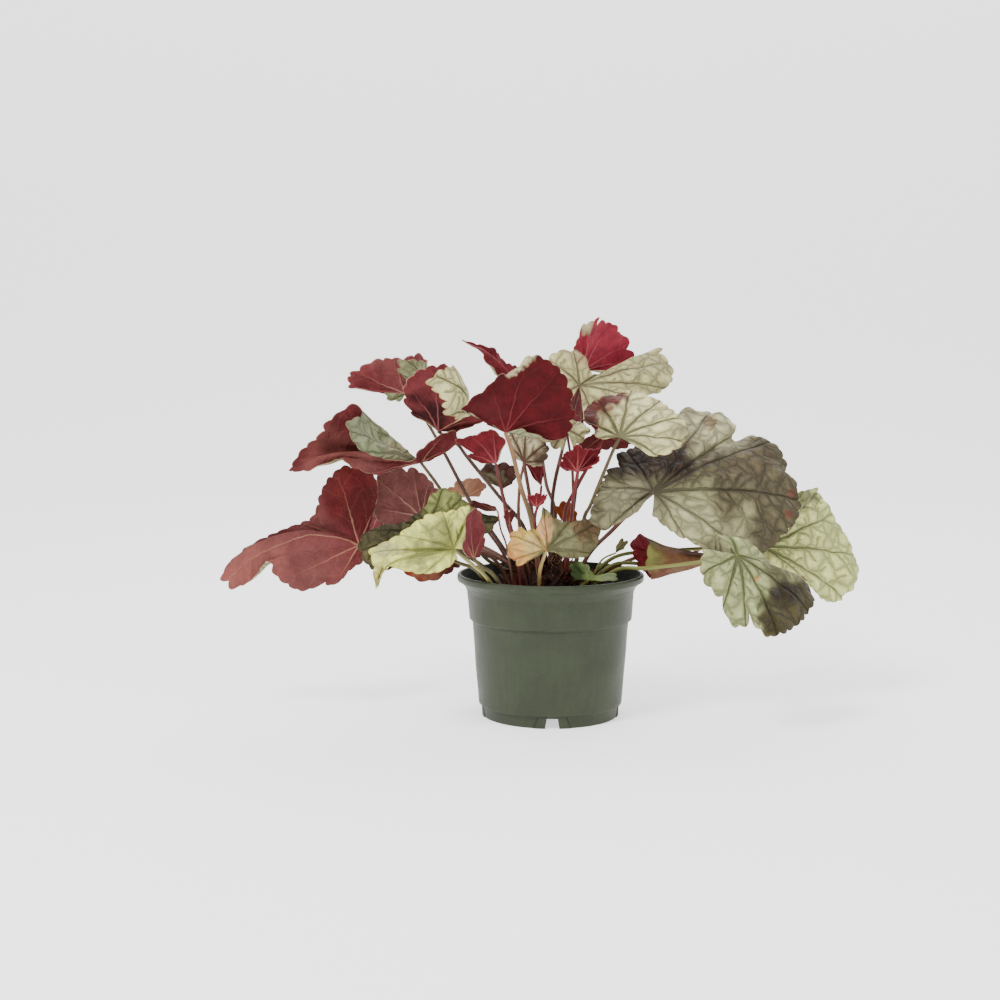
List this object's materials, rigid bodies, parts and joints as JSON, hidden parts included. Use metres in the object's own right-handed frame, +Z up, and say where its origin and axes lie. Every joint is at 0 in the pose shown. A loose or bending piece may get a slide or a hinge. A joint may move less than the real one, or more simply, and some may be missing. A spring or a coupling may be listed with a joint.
{
  "type": "potted heuchera plant",
  "caption": "Heuchera in its round nursery pot, burgundy, silver and lime ruffled leaves on thin arching petioles round a woody crown.",
  "frame": {"origin": "middle of the pot's underside, on the pot's axis, at the level it stands on", "axes": "+Z up along the pot's axis, +X along the broad spread of the leaves to the right as seen from the front, -Y to the front"},
  "size_m": [0.42, 0.2152, 0.2559],
  "materials": {
    "pot_plastic": "slightly glossy grey-green",
    "soil": "rough and damp",
    "crown_bark": "rough",
    "leaf_silver": "satin",
    "leaf_burgundy": "satin",
    "leaf_crimson": "satin",
    "leaf_lime": "satin",
    "leaf_straw": "dry, matt"
  },
  "bodies": {
    "root": {"leaf_left_low": "leaf_burgundy", "leaf_left_mid": "leaf_burgundy", "leaf_left_back": "leaf_burgundy", "leaf_left_front": "leaf_lime", "leaf_left_shade": "leaf_silver", "leaf_left_edge": "leaf_burgundy", "leaf_left_under": "leaf_burgundy", "leaf_top_left": "leaf_burgundy", "leaf_upper_left": "leaf_burgundy", "leaf_centre": "leaf_burgundy", "leaf_top_point": "leaf_burgundy", "leaf_crest": "leaf_crimson", "leaf_top_right": "leaf_silver", "leaf_upper_right": "leaf_silver", "leaf_red_band": "leaf_crimson", "leaf_right": "leaf_silver", "leaf_right_low": "leaf_silver", "leaf_far_right": "leaf_lime", "leaf_right_rolled": "leaf_straw", "leaf_old": "leaf_straw", "leaf_back_right": "leaf_burgundy", "leaf_back_middle": "leaf_burgundy", "leaf_back_left": "leaf_burgundy", "leaf_inner_silver": "leaf_silver", "leaf_inner_right": "leaf_silver", "leaf_inner_red": "leaf_burgundy", "leaf_inner_olive": "leaf_silver", "leaf_inner_pink": "leaf_burgundy", "leaf_inner_orange": "leaf_burgundy", "leaf_young_crimson": "leaf_crimson", "leaf_young_bud": "leaf_crimson", "leaf_young_star": "leaf_crimson", "bract_red": "leaf_crimson", "bract_olive": "leaf_lime", "bract_dark": "leaf_burgundy", "bract_green": "leaf_lime", "pot": "pot_plastic", "soil": "soil", "crown": "crown_bark"}
  },
  "joints": []
}
